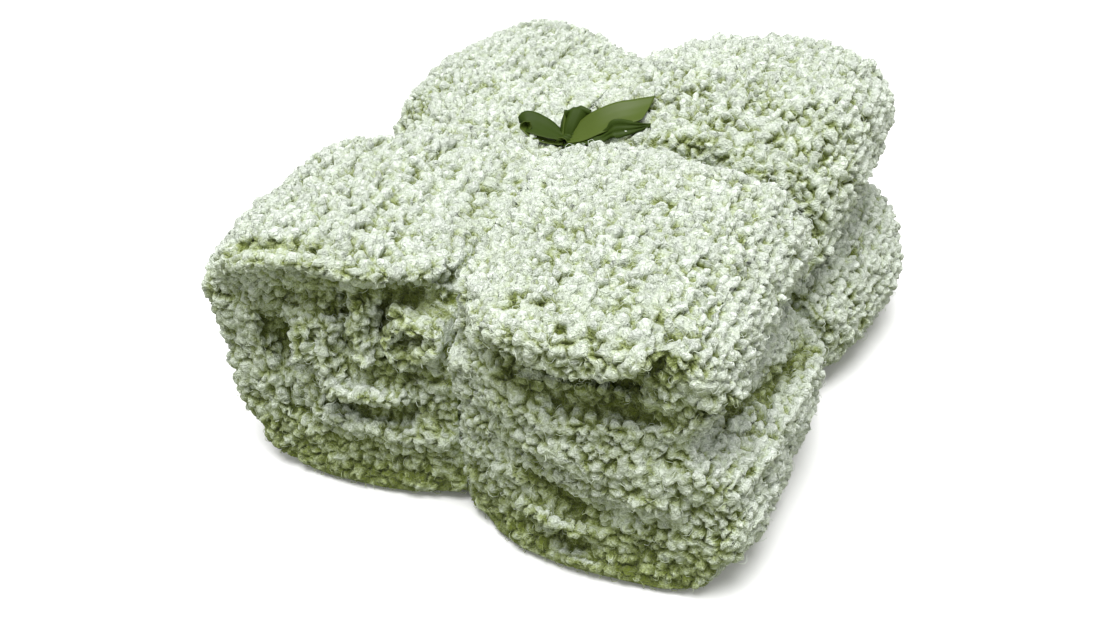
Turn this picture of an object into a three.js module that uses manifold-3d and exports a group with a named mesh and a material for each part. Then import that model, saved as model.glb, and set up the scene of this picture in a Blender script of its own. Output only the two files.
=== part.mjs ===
// A deep-pile knitted throw, folded into a block of plies and tied both ways with one satin ribbon
// that ends in a small bow on top.
//
// Millimetres. +X runs along the front of the folded throw, +Y to its back and +Z up. The origin is
// under the middle of the block, on the surface that it rests on.

import * as THREE from 'three';
import { LoftGeometry } from 'three/addons/geometries/LoftGeometry.js';
import { mergeVertices } from 'three/addons/utils/BufferGeometryUtils.js';
import Module from 'manifold-3d';

const wasm = await Module();
wasm.setup();

// The folded block before the ribbon pulls it in, measured out from where the ribbon crosses. It is
// one strip, four plies thick, that runs from a free end inside, round the upper right fold, back
// over the top, round the big left fold, along the bottom and round the lower right fold to its
// other free end.
const block = { left: 142, right: 178, front: 196, back: 176, height: 180 };
const layerGap = 2;
const stripThickness = (block.height - 3 * layerGap) / 4;
const bigFoldRadius = 62;
const freeEndSetback = 4;
const arcSteps = { fold: 6, freeEnd: 6, bigFold: 5, ribbonAtFold: 3 };

// Where the strip's stations lie on each side of the ribbon's middle, closest beside it. The first
// of them bound the flat that the ribbon lies on, and none comes within leastStep of a fold.
const flatHalf = 6;
const leastStep = 8;
const stations = {
  left: [flatHalf, 15, 28, 48, 74],
  right: [flatHalf, 15, 28, 48, 75, 105],
  front: [flatHalf, 15, 29, 50, 80, 120, 158],
  back: [flatHalf, 15, 29, 50, 78, 112, 142],
};

// How the strip's long edges close: half of its thickness at each distance in from the edge. The
// front shows two rolled folds to each layer, with a seam between them, and the back one.
const frontEdge = [
  { inset: 9, half: 0 },
  { inset: 2.5, half: 4.5 },
  { inset: 0, half: 10.5 },
  { inset: 2.5, half: 16.5 },
  { inset: 8.5, half: 20.4 },
  { inset: 16, half: stripThickness / 2 },
];
const backEdge = [
  { inset: 0, half: 0 },
  { inset: 1.5, half: 8 },
  { inset: 5, half: 14.5 },
  { inset: 11, half: 19.5 },
  { inset: 18, half: stripThickness / 2 },
];

// The ribbon's pull. It draws the block in to these reaches where it runs, and lifts its underside
// clear of the surface over the length called foot.
const pulled = { left: 118, right: 152, front: 155, back: 158, height: 150, underside: 3.4, foot: 24 };

// Beside the ribbon the throw swells out again over this length, steeply first and then rounded.
const swell = { length: 76, steep: 2.4, rounded: 0.8 };

// The top edges tuck in at the ribbon and hang over away from it, as shares of the reach. The two
// runs sag towards their ends, and round draws the corners in.
const shape = { topTuck: 0.16, overhang: 0.04, sagAcross: 10, sagAlong: 26, round: 0.05 };

// The four corners that swell up between the ribbon's two runs. Height is the crown's, upper and
// lower are the reach of its folds along the length, edge is the reach of its long edge, and the
// falls are how far the crown drops towards that edge and towards the folds. Settle is how far the
// middle of the stack has ridden up, as a share of its height. The spans are the shares of the reach
// over which the crown drops, and of the height over which the upper folds take over from the lower.
const corners = {
  frontLeft: { height: 168, upper: 160, lower: 156, edge: 169, edgeFall: 0, foldFall: 11, settle: 0 },
  frontRight: { height: 180, upper: 160, lower: 174, edge: 188, edgeFall: 15, foldFall: 2, settle: 0.08 },
  backLeft: { height: 160, upper: 153, lower: 148, edge: 170, edgeFall: 8, foldFall: 12, settle: 0 },
  backRight: { height: 182, upper: 168, lower: 186, edge: 152, edgeFall: 15, foldFall: 2, settle: 0 },
};
const edgeFallSpan = [0.5, 1];
const foldFallSpan = [0.41, 1];
const foldSpan = [0.3, 0.7];

// The ribbon, gathered where it is pulled tight, with its two runs stacked where they cross.
const ribbon = { width: 16, gathered: 10, thickness: 0.6, clearance: 0.8, stack: 0.45 };

// The bow, as stations along each of its pieces, measured from the middle of the knot. Spread is the
// share of the ribbon's width that is open there, and turn and lean are the heading and the slope of
// that width, in degrees.
const knot = { x: 7, y: 5.5, z: 4.5, rise: 5.4 };
const bow = {
  leftLoop: [
    { x: 0, y: 0, z: 1.5, spread: 0.44, turn: -70, lean: 10 },
    { x: -8, y: 0, z: 6, spread: 0.75, turn: -68, lean: 14 },
    { x: -16, y: 0.5, z: 10, spread: 1, turn: -66, lean: 18 },
    { x: -22, y: 1, z: 12, spread: 1, turn: -66, lean: 20 },
    { x: -24.5, y: 1, z: 10, spread: 1, turn: -66, lean: 20 },
    { x: -21, y: 0.5, z: 6, spread: 1, turn: -66, lean: 16 },
    { x: -12, y: 0, z: 2.5, spread: 0.75, turn: -68, lean: 8 },
    { x: 0, y: 0, z: -0.5, spread: 0.44, turn: -70, lean: 0 },
  ],
  uprightLoop: [
    { x: 2, y: 1, z: 0, spread: 0.5, turn: 20, lean: 0 },
    { x: 4, y: 2, z: 9, spread: 0.88, turn: 24, lean: 0 },
    { x: 6, y: 3, z: 18, spread: 1, turn: 26, lean: 0 },
    { x: 6.5, y: 5.5, z: 22, spread: 1, turn: 26, lean: 0 },
    { x: 6, y: 9, z: 20, spread: 1, turn: 26, lean: 0 },
    { x: 4, y: 8, z: 10, spread: 0.88, turn: 24, lean: 0 },
    { x: 2, y: 3, z: 0, spread: 0.5, turn: 20, lean: 0 },
  ],
  broadTail: [
    { x: 1, y: 0, z: 1, spread: 0.5, turn: 104, lean: 10 },
    { x: 10, y: 4, z: 5, spread: 0.94, turn: 108, lean: 30 },
    { x: 20, y: 8.5, z: 9.5, spread: 1, turn: 114, lean: 34 },
    { x: 30, y: 14.5, z: 14.5, spread: 1, turn: 118, lean: 26 },
    { x: 38, y: 19.5, z: 17.5, spread: 1, turn: 124, lean: 14 },
    { x: 44, y: 23, z: 18.5, spread: 1, turn: 148, lean: 6 },
  ],
  narrowTail: [
    { x: 1, y: -1, z: -0.5, spread: 0.5, turn: 96, lean: 0 },
    { x: 10, y: -1, z: 0.5, spread: 0.62, turn: 98, lean: 12 },
    { x: 22, y: 2, z: 3.5, spread: 0.81, turn: 104, lean: 30 },
    { x: 33, y: 7, z: 8, spread: 0.81, turn: 112, lean: 34 },
    { x: 41, y: 11, z: 11.5, spread: 0.56, turn: 118, lean: 20 },
    { x: 48, y: 15, z: 12.5, spread: 0.19, turn: 124, lean: 8 },
  ],
};

const layerPitch = stripThickness + layerGap;
const levels = [0, 1, 2, 3].map((layer) => stripThickness / 2 + layer * layerPitch);
const foldRadius = layerPitch / 2;
const foldX = block.right - stripThickness / 2 - foldRadius;
const bigX = bigFoldRadius - block.left;

const down = -Math.PI / 2;
const up = Math.PI / 2;
const left = Math.PI;

function clamp(value, low, high) {
  return Math.min(high, Math.max(low, value));
}

// Rises smoothly from zero to one over a span.
function rise(value, [from, to]) {
  const t = clamp((value - from) / (to - from), 0, 1);
  return t * t * (3 - 2 * t);
}

function bothSides(before, after) {
  return [...before.map((distance) => -distance).reverse(), ...after];
}

function cornerAt(x, y) {
  if (y < 0) {
    return x < 0 ? corners.frontLeft : corners.frontRight;
  }
  return x < 0 ? corners.backLeft : corners.backRight;
}

// Zero on the flat under the ribbon and one where the throw is as full as it gets.
function fullness(distance) {
  const t = clamp((distance - flatHalf) / swell.length, 0, 1);
  return (1 - (1 - t) ** swell.steep) ** swell.rounded;
}

// Moves a point of the untied block to where the tied throw has it.
function tie(point) {
  const corner = cornerAt(point.x, point.y);
  const alongX = Math.abs(point.x) / (point.x < 0 ? block.left : block.right);
  const alongY = Math.abs(point.y) / (point.y < 0 ? block.front : block.back);
  const pulledX = point.x < 0 ? pulled.left : pulled.right;
  const pulledY = point.y < 0 ? pulled.front : pulled.back;
  const fullX = fullness(Math.abs(point.x));
  const fullY = fullness(Math.abs(point.y));
  const flatLevel = point.z / block.height;
  const level = flatLevel + corner.settle * fullX * fullY * Math.sin(Math.PI * flatLevel) ** 2;
  const high = Math.max(0, 2 * flatLevel - 1) ** 2;

  const fold = corner.lower + (corner.upper - corner.lower) * rise(flatLevel, foldSpan);
  const reachX = pulledX + (fold * (1 - shape.round * alongY ** 5) - pulledX) * fullY;
  const tuckX = 1 + (shape.overhang * fullY - shape.topTuck * (1 - fullY)) * high;
  const reachY = pulledY + (corner.edge * (1 - shape.round * alongX ** 5) - pulledY) * fullX;
  const tuckY = 1 + (shape.overhang * fullX - shape.topTuck * (1 - fullX)) * high;

  const fall = corner.edgeFall * rise(alongY, edgeFallSpan) + corner.foldFall * rise(alongX, foldFallSpan);
  const sag = shape.sagAcross * (1 - fullX) * alongY ** 3 + shape.sagAlong * (1 - fullY) * alongX ** 3;
  const crown = pulled.height - sag + (corner.height - fall - pulled.height) * fullX * fullY;
  const footSpan = [flatHalf, flatHalf + pulled.foot];
  const standing = rise(Math.abs(point.x), footSpan) * rise(Math.abs(point.y), footSpan);
  const underside = pulled.underside * (1 - standing);

  return new THREE.Vector3(
    Math.sign(point.x) * alongX * reachX * tuckX,
    Math.sign(point.y) * alongY * reachY * tuckY,
    underside + level * (crown - underside),
  );
}

// One station of the strip's middle line: its place and the direction of the strip's outer face.
function station(x, z, angle) {
  return { x, z, dx: Math.cos(angle), dz: Math.sin(angle) };
}

function run(places, level, angle) {
  return places.map((x) => station(x, level, angle));
}

function bend(x, z, radius, from, to, steps) {
  const turned = [];
  for (let i = 1; i < steps; i++) {
    const angle = from + ((to - from) * i) / steps;
    turned.push(station(x + radius * Math.cos(angle), z + radius * Math.sin(angle), angle));
  }
  return turned;
}

// The closed outline of the strip, as places on its middle line with the direction out of each.
function stripOutline() {
  const bigRadius = bigFoldRadius - stripThickness / 2;
  const freeX = -block.left + stripThickness + freeEndSetback + stripThickness / 2;
  const middle = bothSides(stations.left, stations.right);
  const inner = [freeX, ...middle.filter((x) => x > freeX + leastStep), foldX];
  const outer = [bigX, ...middle.filter((x) => x > bigX + leastStep), foldX];

  const outside = [
    ...run(inner, levels[2], down),
    ...bend(foldX, levels[2] + foldRadius, foldRadius, down, up, arcSteps.fold),
    ...run([...outer].reverse(), levels[3], up),
    ...bend(bigX, block.height - bigFoldRadius, bigRadius, up, left, arcSteps.bigFold),
    station(bigX - bigRadius, block.height - bigFoldRadius, left),
    station(bigX - bigRadius, block.height / 2, left),
    station(bigX - bigRadius, bigFoldRadius, left),
    ...bend(bigX, bigFoldRadius, bigRadius, left, left - down, arcSteps.bigFold),
    ...run(outer, levels[0], down),
    ...bend(foldX, levels[0] + foldRadius, foldRadius, down, up, arcSteps.fold),
    ...run([...inner].reverse(), levels[1], up),
  ];
  const inside = [...outside].reverse().map((s) => ({ x: s.x, z: s.z, dx: -s.dx, dz: -s.dz }));
  const lastEnd = bend(freeX, levels[1], 0, up, up + Math.PI, arcSteps.freeEnd);
  const firstEnd = bend(freeX, levels[2], 0, up, up + Math.PI, arcSteps.freeEnd);
  return [...outside, ...lastEnd, ...inside, ...firstEnd];
}

// The rings of the strip from the back edge to the front edge.
function stripRings() {
  const front = frontEdge.map((row) => ({ y: row.inset - block.front, half: row.half }));
  const back = backEdge.map((row) => ({ y: block.back - row.inset, half: row.half }));
  const middle = bothSides(stations.front, stations.back).map((y) => ({ y, half: stripThickness / 2 }));
  return [...back, ...middle.reverse(), ...front.reverse()];
}

// Joins the vertices that meet and drops the triangles that close up to nothing.
function closedGeometry(geometry) {
  const open = new THREE.BufferGeometry();
  open.setAttribute('position', geometry.getAttribute('position'));
  open.setIndex(geometry.getIndex());
  const merged = mergeVertices(open, 1e-3);
  const index = merged.getIndex().array;
  const kept = [];
  for (let i = 0; i < index.length; i += 3) {
    const [a, b, c] = [index[i], index[i + 1], index[i + 2]];
    if (a !== b && b !== c && c !== a) {
      kept.push(a, b, c);
    }
  }
  merged.setIndex(kept);
  return merged;
}

function makeThrow() {
  const outline = stripOutline();
  const sections = stripRings().map((ring) =>
    outline.map((s) => tie(new THREE.Vector3(s.x + s.dx * ring.half, ring.y, s.z + s.dz * ring.half))),
  );
  const geometry = closedGeometry(new LoftGeometry(sections));
  const material = new THREE.MeshStandardMaterial({ color: 0xc4cfb4, roughness: 1, metalness: 0 });
  const mesh = new THREE.Mesh(geometry, material);
  mesh.name = 'throw';
  return mesh;
}

// The outer outline of the block where the ribbon's front-to-back run lies on it, as distance from
// the crossing and height. It goes over the top to the back, down and home underneath, and at the
// front it bridges the seams between the folds.
function acrossOutline() {
  const top = bothSides(stations.front, stations.back).map((along) => ({ along, z: block.height }));
  const bottom = [...top].reverse().map((p) => ({ along: p.along, z: 0 }));
  const backRows = [...backEdge].reverse();
  const frontRows = frontEdge.slice(2);
  const backTop = backRows.map((row) => ({ along: block.back - row.inset, z: levels[3] + row.half }));
  const backDown = [levels[2], levels[1]].map((z) => ({ along: block.back, z }));
  const backBottom = [...backTop].reverse().map((p) => ({ along: p.along, z: block.height - p.z }));
  const frontBottom = [...frontRows]
    .reverse()
    .map((row) => ({ along: row.inset - block.front, z: levels[0] - row.half }));
  const frontUp = levels
    .flatMap((level) => [level - frontRows[0].half, level + frontRows[0].half])
    .slice(1, -1)
    .map((z) => ({ along: -block.front, z }));
  const frontTop = [...frontBottom].reverse().map((p) => ({ along: p.along, z: block.height - p.z }));
  return [...top, ...backTop, ...backDown, ...backBottom, ...bottom, ...frontBottom, ...frontUp, ...frontTop];
}

// The same for the run along the length, over the top to the right folds and home underneath.
function alongOutline() {
  const foldReach = block.right - foldX;
  const arc = (x, z, radius, from, to, steps) =>
    [station(x + radius * Math.cos(from), z + radius * Math.sin(from), from)]
      .concat(bend(x, z, radius, from, to, steps))
      .map((s) => ({ along: s.x, z: s.z }));
  const middle = bothSides(stations.left, stations.right).filter((x) => x > bigX + leastStep);
  const top = middle.map((along) => ({ along, z: block.height }));
  const bottom = [...middle].reverse().map((along) => ({ along, z: 0 }));
  return [
    ...top,
    ...arc(foldX, levels[2] + foldRadius, foldReach, up, 0, arcSteps.ribbonAtFold),
    { along: block.right, z: levels[2] + foldRadius },
    ...arc(foldX, levels[0] + foldRadius, foldReach, 0, down, arcSteps.ribbonAtFold),
    { along: foldX, z: 0 },
    ...bottom,
    ...arc(bigX, bigFoldRadius, bigFoldRadius, down, -left, arcSteps.bigFold),
    { along: -block.left, z: bigFoldRadius },
    { along: -block.left, z: block.height / 2 },
    ...arc(bigX, block.height - bigFoldRadius, bigFoldRadius, left, up, arcSteps.bigFold),
    { along: bigX, z: block.height },
  ];
}

// A closed loop of ribbon laid on an outline of the block and then tied down with it.
function bandGeometry(outline, gap, place) {
  const edge = ribbon.gathered / 2;
  const sections = outline.map((p, i) => {
    const before = outline[(i + outline.length - 1) % outline.length];
    const after = outline[(i + 1) % outline.length];
    const span = Math.hypot(after.along - before.along, after.z - before.z);
    const outAlong = -(before.z - after.z) / span;
    const outZ = (before.along - after.along) / span;
    const corner = (side, out) => tie(place(p.along - outAlong * out, side, p.z - outZ * out));
    return [
      corner(-edge, gap),
      corner(edge, gap),
      corner(edge, gap + ribbon.thickness),
      corner(-edge, gap + ribbon.thickness),
    ];
  });
  return closedGeometry(new LoftGeometry([...sections, sections[0]]));
}

// A free length of ribbon through the stations of one piece of the bow.
function bowGeometry(rows) {
  const points = rows.map((row) => new THREE.Vector3(row.x, row.y, row.z));
  const sections = rows.map((row, i) => {
    const turn = THREE.MathUtils.degToRad(row.turn);
    const lean = THREE.MathUtils.degToRad(row.lean);
    const across = new THREE.Vector3(
      Math.cos(turn) * Math.cos(lean),
      Math.sin(turn) * Math.cos(lean),
      Math.sin(lean),
    );
    const next = points[Math.min(i + 1, points.length - 1)];
    const previous = points[Math.max(i - 1, 0)];
    const face = next.clone().sub(previous).cross(across).normalize();
    const corner = (side, out) =>
      points[i]
        .clone()
        .addScaledVector(across, (side * row.spread * ribbon.width) / 2)
        .addScaledVector(face, (out * ribbon.thickness) / 2);
    return [corner(-1, -1), corner(1, -1), corner(1, 1), corner(-1, 1)];
  });
  return closedGeometry(new LoftGeometry(sections, { capStart: true, capEnd: true }));
}

function solid(geometry) {
  return new wasm.Manifold(
    new wasm.Mesh({
      numProp: 3,
      vertProperties: geometry.getAttribute('position').array,
      triVerts: new Uint32Array(geometry.getIndex().array),
    }),
  );
}

function joinedGeometry(geometries) {
  const joined = geometries.map(solid).reduce((whole, piece) => whole.add(piece));
  const result = joined.getMesh();
  const geometry = new THREE.BufferGeometry();
  geometry.setAttribute('position', new THREE.BufferAttribute(result.vertProperties, result.numProp));
  geometry.setIndex(new THREE.BufferAttribute(result.triVerts, 1));
  return geometry;
}

function makeRibbon() {
  const outer = ribbon.clearance + ribbon.stack;
  const across = bandGeometry(acrossOutline(), ribbon.clearance, (y, x, z) => new THREE.Vector3(-x, y, z));
  const along = bandGeometry(alongOutline(), outer, (x, y, z) => new THREE.Vector3(x, y, z));
  const knotMiddle = tie(new THREE.Vector3(0, 0, block.height)).z + knot.rise;
  const knotBall = closedGeometry(new THREE.SphereGeometry(1, 12, 8).scale(knot.x, knot.y, knot.z));
  const bowPieces = [knotBall, ...Object.values(bow).map(bowGeometry)];
  for (const piece of bowPieces) {
    piece.translate(0, 0, knotMiddle);
  }
  const geometry = joinedGeometry([across, along, ...bowPieces]);
  const material = new THREE.MeshStandardMaterial({ color: 0x567a34, roughness: 0.45, metalness: 0 });
  const mesh = new THREE.Mesh(geometry, material);
  mesh.name = 'ribbon';
  return mesh;
}

const tiedThrow = new THREE.Group();
tiedThrow.add(makeThrow(), makeRibbon());

const size = new THREE.Box3().setFromObject(tiedThrow);
tiedThrow.position.set(-(size.min.x + size.max.x) / 2, -(size.min.y + size.max.y) / 2, -size.min.z);

export default tiedThrow;
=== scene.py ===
# A deep-pile knitted throw, folded into a block and tied both ways with a satin ribbon. Metres.
import math

import bmesh
import bpy
import numpy as np
from mathutils import Matrix, Vector, kdtree, noise
from mathutils.bvhtree import BVHTree


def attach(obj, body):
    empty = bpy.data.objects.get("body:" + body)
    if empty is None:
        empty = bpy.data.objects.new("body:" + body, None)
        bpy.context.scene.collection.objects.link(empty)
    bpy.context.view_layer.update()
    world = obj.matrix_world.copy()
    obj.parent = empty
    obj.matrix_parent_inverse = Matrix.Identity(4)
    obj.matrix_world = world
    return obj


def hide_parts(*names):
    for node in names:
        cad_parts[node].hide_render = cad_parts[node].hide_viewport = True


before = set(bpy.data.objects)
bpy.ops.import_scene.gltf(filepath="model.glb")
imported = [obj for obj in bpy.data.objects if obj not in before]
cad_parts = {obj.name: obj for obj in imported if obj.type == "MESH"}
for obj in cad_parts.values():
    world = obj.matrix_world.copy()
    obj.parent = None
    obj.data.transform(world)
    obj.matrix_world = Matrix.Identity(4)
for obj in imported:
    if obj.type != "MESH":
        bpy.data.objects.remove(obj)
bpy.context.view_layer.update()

mm = 0.001
crossing = {"x": -0.0127, "y": 0.0100}    # where the two runs of the ribbon cross


def linkObject(name, data):
    piece = bpy.data.objects.new(name, data)
    bpy.context.scene.collection.objects.link(piece)
    return piece


def meshArrays(mesh):
    places = np.zeros(len(mesh.vertices) * 3, np.float32)
    normals = np.zeros(len(mesh.vertices) * 3, np.float32)
    mesh.vertices.foreach_get("co", places)
    mesh.vertices.foreach_get("normal", normals)
    return places.reshape(-1, 3).astype(float), normals.reshape(-1, 3).astype(float)


def movePoints(mesh, places):
    mesh.vertices.foreach_set("co", places.astype(np.float32).ravel())
    mesh.update()


def applyModifiers(piece):
    depsgraph = bpy.context.evaluated_depsgraph_get()
    finished = bpy.data.meshes.new_from_object(piece.evaluated_get(depsgraph))
    piece.modifiers.clear()
    raw = piece.data
    piece.data = finished
    bpy.data.meshes.remove(raw)


def unit(vectors):
    return vectors / np.linalg.norm(vectors, axis=-1, keepdims=True)


def noiseAt(places, scale):
    return np.array([noise.noise(Vector(p) * scale) for p in places.tolist()])


def noiseVectorsAt(places, scale):
    return np.array([noise.noise_vector(Vector(p) * scale) for p in places.tolist()])


def treeOf(places):
    tree = kdtree.KDTree(len(places))
    for i, place in enumerate(places.tolist()):
        tree.insert(place, i)
    tree.balance()
    return tree


def surfaceTree(mesh):
    bm = bmesh.new()
    bm.from_mesh(mesh)
    tree = BVHTree.FromBMesh(bm)
    bm.free()
    return tree


def triangleCount(piece):
    return sum(len(face.vertices) - 2 for face in piece.data.polygons)


# 0 below low, 1 above high and smooth between
def rise(values, low, high):
    t = np.clip((values - low) / (high - low), 0, 1)
    return t * t * (3 - 2 * t)


# more rows between the given ones, on a smooth curve through them
def smoothRows(rows, steps):
    rows = np.array(rows, float)
    padded = np.vstack([2 * rows[0] - rows[1], rows, 2 * rows[-1] - rows[-2]])
    finer = []
    for i in range(len(rows) - 1):
        a, b, c, d = padded[i:i + 4]
        for t in np.arange(steps) / steps:
            finer.append(0.5 * (2 * b + (c - a) * t + (2 * a - 5 * b + 4 * c - d) * t ** 2
                                + (3 * b - a - 3 * c + d) * t ** 3))
    finer.append(rows[-1])
    return np.array(finer)


# camera
view = {"azimuth": 25.3, "elevation": 34.79, "roll": -3.45, "distance": 0.7913,
        "target": (0.0023, -0.0436, 0.065), "lens": 43.79, "sensor": 36}


def makeCamera():
    azimuth = math.radians(view["azimuth"])
    elevation = math.radians(view["elevation"])
    towards = Vector((math.sin(azimuth) * math.cos(elevation), -math.cos(azimuth) * math.cos(elevation),
                      math.sin(elevation)))
    rolled = Matrix.Rotation(math.radians(view["roll"]), 3, "Z")
    turned = towards.to_track_quat("Z", "Y").to_matrix() @ rolled
    data = bpy.data.cameras.new("camera")
    data.lens = view["lens"]
    data.sensor_width = view["sensor"]
    data.sensor_fit = "HORIZONTAL"
    camera = linkObject("camera", data)
    place = Vector(view["target"]) + towards * view["distance"]
    camera.matrix_world = Matrix.Translation(place) @ turned.to_4x4()
    bpy.context.scene.camera = camera


makeCamera()

# The knit. A scale is how many of a noise's waves there are in a metre.
knit = {
    "closeSlits": 1.3 * mm,    # grown first, so that the remesh closes the slits between the layers
    "fillSeams": 4.5 * mm,     # then grown more, which fills their narrow seams
    "coarseVoxel": 2.6 * mm,
    "voxel": 1.28 * mm,
    "softenSteps": 22,
    "openingAt": (-107 * mm, 9 * mm, 78 * mm),       # runs through the left folds and is filled
    "openingSize": (24 * mm, 300 * mm, 22 * mm),
    "pileDepth": 2.6 * mm,     # how far it lies under the tips of the pile
    "clearOfFloor": 0.5 * mm,
    "restFrom": 2 * mm,        # the underside is flat below here
    "restTo": 14 * mm,
    "rowPitch": 11.5 * mm,
    "rowHeight": 1.4 * mm,
    "rowWander": 0.35,         # in rows
    "rowWanderScale": (9, 14, 9),
    "rowShade": 0.25,          # painted shade between two rows
    "swellHeight": 1.8 * mm,   # uneven swellings all over
    "swellScale": 32,
    "clumpHeight": 0.9 * mm,
    "clumpScale": 85,
    "underKnot": 6 * mm,       # how far the knot pulls it in
    "knotReach": 20 * mm,
    "besideRibbon": 3.4 * mm,  # how far it bulges beside the ribbon
    "overRibbon": 6 * mm,      # and leans over it
    "leanStop": 0.4 * mm,      # short of the ribbon's middle
    "seed": 5,
}

# how the folds below are pressed in
fold = {
    "wander": 5 * mm,          # how unevenly they run
    "wanderScale": 42,
    "reachFrom": 50 * mm,      # a face's folds fade out towards the middle of the block
    "reachTo": 90 * mm,
    "darkDepth": 11,           # in millimetres: a narrow crease this deep gets full painted shade inside
    "darkWidth": 10,
    "darkSpread": 0.7,
}

# Creases and ridges, in millimetres on a face of the block: across and up it, or across and back on
# the top. The depth is negative for a crease.
folds = [
    # front left: the top layer and the big fold wrap round, and rolled folds stand inside them
    ("front", -5, 15, [(-96, 108), (-62, 110), (-30, 110)]),
    ("front", -8, 6, [(-90, 132), (-80, 133), (-70, 133), (-45, 131), (-24, 129)]),
    ("front", 9, 9, [(-128, 146), (-95, 151), (-65, 154), (-40, 150), (-18, 147)]),
    ("front", -4, 9, [(-100, 118), (-84, 119), (-66, 119)]),
    ("front", 12, 6.5, [(-59, 124), (-61, 111), (-58, 96)]),
    ("front", -11, 3.5, [(-48, 124), (-49, 95)]),
    ("front", -10, 4, [(-69, 122), (-68, 90)]),
    ("front", 15, 5, [(-36, 122), (-44, 116), (-45, 108), (-38, 101), (-28, 105), (-27, 116), (-36, 122)]),
    ("front", -13, 4.5, [(-36, 110), (-35, 105)]),
    ("front", 8, 5, [(-17, 124), (-14, 108), (-10, 102)]),
    ("front", 11, 8, [(-96, 110), (-97, 92)]),
    ("front", 10, 7, [(-80, 100), (-79, 82)]),
    ("front", -7, 6, [(-120, 100), (-117, 90), (-108, 78), (-93, 67), (-77, 60)]),
    ("front", -8, 4.5, [(-66, 86), (-40, 87), (-16, 89)]),
    ("front", 9, 7, [(-77, 73), (-60, 73), (-46, 77)]),
    ("front", -6, 5.5, [(-84, 58), (-56, 57), (-38, 59)]),
    ("front", -5, 5.5, [(-38, 59), (-14, 64)]),
    ("front", 5, 8, [(-95, 44), (-60, 45), (-30, 46), (-12, 50)]),
    ("front", -12, 6, [(-88, 30), (-62, 31), (-40, 29), (-18, 33)]),
    ("front", -5, 5, [(-127, 158), (-100, 163), (-78, 167)]),
    # front right: a hanging roll with a hollow under it, then two slanting creases low down
    ("front", -14, 5.5, [(15, 134), (42, 135), (58, 131)]),
    ("front", -8, 5, [(58, 131), (70, 128), (80, 126)]),
    ("front", -13, 5.5, [(80, 127), (95, 130), (106, 140), (115, 154)]),
    ("front", 11, 10, [(18, 151), (45, 150), (70, 144), (95, 144), (108, 154)]),
    ("front", -5, 9, [(30, 122), (60, 116), (92, 112)]),
    ("front", 5, 9, [(28, 112), (60, 100), (100, 93)]),
    ("front", -8, 4.5, [(57, 110), (78, 108), (98, 113), (108, 112), (118, 113), (130, 117), (146, 120)]),
    ("front", -9, 5.5, [(34, 59), (48, 53), (64, 44), (78, 37), (92, 32), (106, 30)]),
    ("front", -7, 5, [(12, 37), (33, 31), (56, 25), (76, 16)]),
    ("front", 7, 13, [(34, 92), (72, 80), (105, 70)]),
    ("front", 6, 7, [(18, 48), (40, 43), (58, 36), (74, 29)]),
    ("front", -6, 4.5, [(24, 85), (36, 77), (44, 73)]),
    ("top", -3, 6, [(22, -168), (40, -166), (62, -166)]),
    ("top", -3, 6, [(80, -160), (98, -156), (110, -164), (117, -172)]),
    # the crease between the upper and the lower right folds
    ("right", -9, 4, [(-176, 120), (-160, 114), (-140, 106), (-115, 97), (-85, 90), (-50, 84), (-10, 76)]),
    ("right", 6, 9, [(-180, 124), (-140, 112), (-100, 107), (-40, 106)]),
    ("right", 5, 9, [(-170, 86), (-140, 80), (-100, 76), (-40, 75)]),
]

# the axes across and up each face, and the way that it faces
faceAxes = {"front": (0, 2, (0, -1, 0)), "right": (1, 2, (1, 0, 0)), "top": (0, 1, (0, 0, 1))}


# how far each point is from a path of straight stretches
def pathDistance(points, path):
    nearest = np.full(len(points), 1.0)        # a metre is out of reach
    for a, b in zip(path[:-1], path[1:]):
        span = b - a
        along = np.clip((points - a) @ span / (span @ span), 0, 1)
        nearest = np.minimum(nearest, np.linalg.norm(points - a - along[:, None] * span, axis=1))
    return nearest


def ribbonDistance(places):
    return np.minimum(abs(places[:, 0] - crossing["x"]), abs(places[:, 1] - crossing["y"]))


# the vertices of each part that isn't joined to the biggest one
def strayParts(bm):
    seen, parts = set(), []
    for start in bm.verts:
        if start in seen:
            continue
        seen.add(start)
        part, waiting = [], [start]
        while waiting:
            vert = waiting.pop()
            part.append(vert)
            for edge in vert.link_edges:
                other = edge.other_vert(vert)
                if other not in seen:
                    seen.add(other)
                    waiting.append(other)
        parts.append(part)
    parts.sort(key=len)
    return parts[:-1]


# even faces all over, softened, without what is closed in
def remeshed(piece, voxel, steps):
    remesh = piece.modifiers.new("remesh", "REMESH")
    remesh.mode = "VOXEL"
    remesh.voxel_size = voxel
    soften = piece.modifiers.new("soften", "SMOOTH")
    soften.factor = 0.5
    soften.iterations = steps
    applyModifiers(piece)
    bm = bmesh.new()
    bm.from_mesh(piece.data)
    for part in strayParts(bm):
        bmesh.ops.delete(bm, geom=part, context="VERTS")
    bm.to_mesh(piece.data)
    bm.free()


# a copy of the throw with its slits, its narrow seams and one opening closed
def makeKnit():
    noise.seed_set(knit["seed"])        # otherwise noise_vector starts from the clock
    bm = bmesh.new()
    bm.from_mesh(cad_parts["throw"].data)
    bmesh.ops.remove_doubles(bm, verts=bm.verts, dist=1e-6)
    bmesh.ops.recalc_face_normals(bm, faces=bm.faces)
    filling = Matrix.Translation(knit["openingAt"]) @ Matrix.Diagonal((*knit["openingSize"], 1))
    bmesh.ops.create_cube(bm, size=1, matrix=filling)
    mesh = bpy.data.meshes.new("knit")
    bm.to_mesh(mesh)
    bm.free()
    piece = linkObject("knit", mesh)
    for grow, voxel, steps in ((knit["closeSlits"], knit["coarseVoxel"], 3),
                               (knit["fillSeams"], knit["voxel"], knit["softenSteps"])):
        places, normals = meshArrays(piece.data)
        movePoints(piece.data, places + normals * grow)
        remeshed(piece, voxel, steps)
    return piece


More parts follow.
